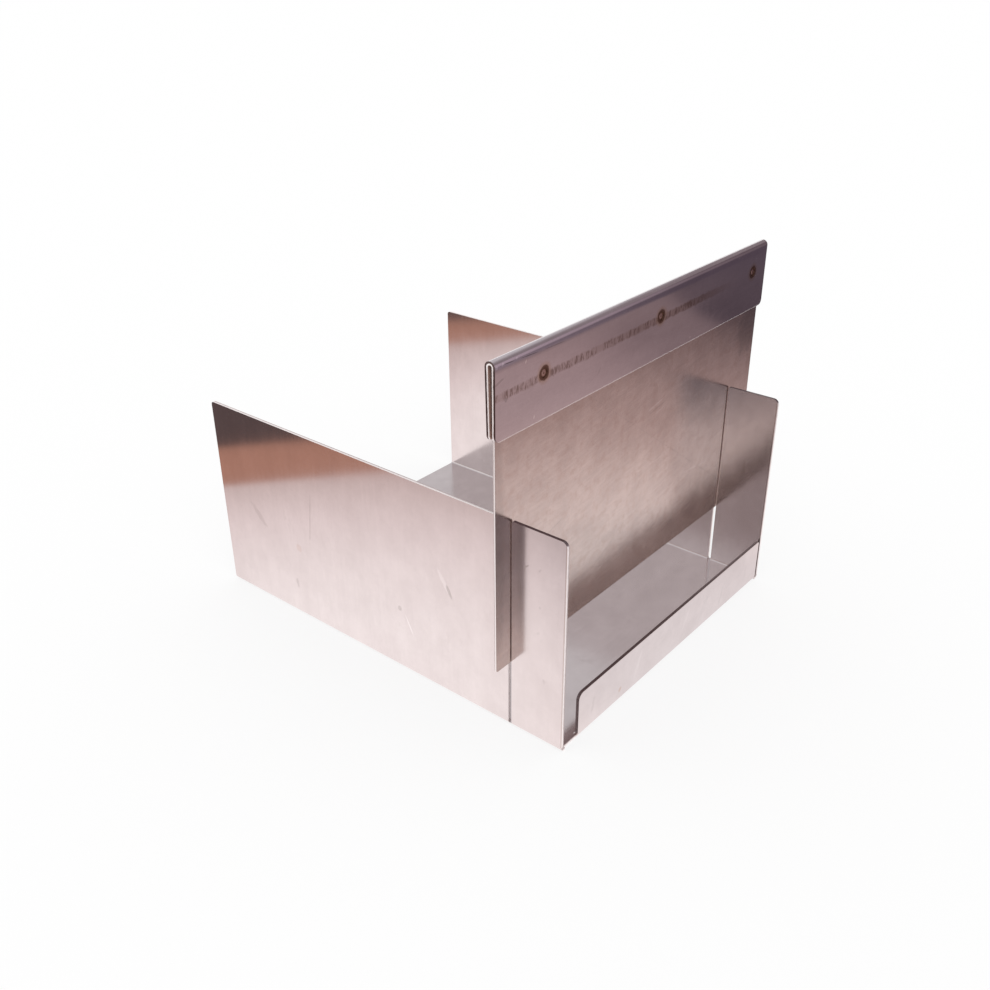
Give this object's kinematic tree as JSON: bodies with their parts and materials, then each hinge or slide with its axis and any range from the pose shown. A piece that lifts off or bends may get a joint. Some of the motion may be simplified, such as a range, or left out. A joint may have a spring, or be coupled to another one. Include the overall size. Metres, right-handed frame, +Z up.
{
  "type": "soap cutter",
  "caption": "Folded steel trough with a slot in each wall and a low front lip, and a flat blade with a folded grip cap that slides down through the slots to slice a loaf.",
  "frame": {"origin": "middle of the trough's footprint, on the surface that it stands on", "axes": "+X across the trough along the blade, +Y from the front lip to the open rear end, +Z up"},
  "size_m": [0.2112, 0.219, 0.175],
  "materials": {
    "trough_steel": "fine upright brushing, semi-gloss",
    "blade_steel": "fine slanting scratches, semi-gloss",
    "cap_steel": "smooth mill finish with heat tint and smudges round the welds",
    "weld_metal": "brown heat tint"
  },
  "bodies": {
    "trough": {"trough": "trough_steel"},
    "cutter": {"blade": "blade_steel", "grip_cap": "cap_steel", "spot_welds": "weld_metal"}
  },
  "joints": [
    {"name": "cutter_slide", "type": "slide", "parent": "trough", "child": "cutter", "axis": [0, 0, 1], "range_m": [-0.0332, 0.075]}
  ]
}
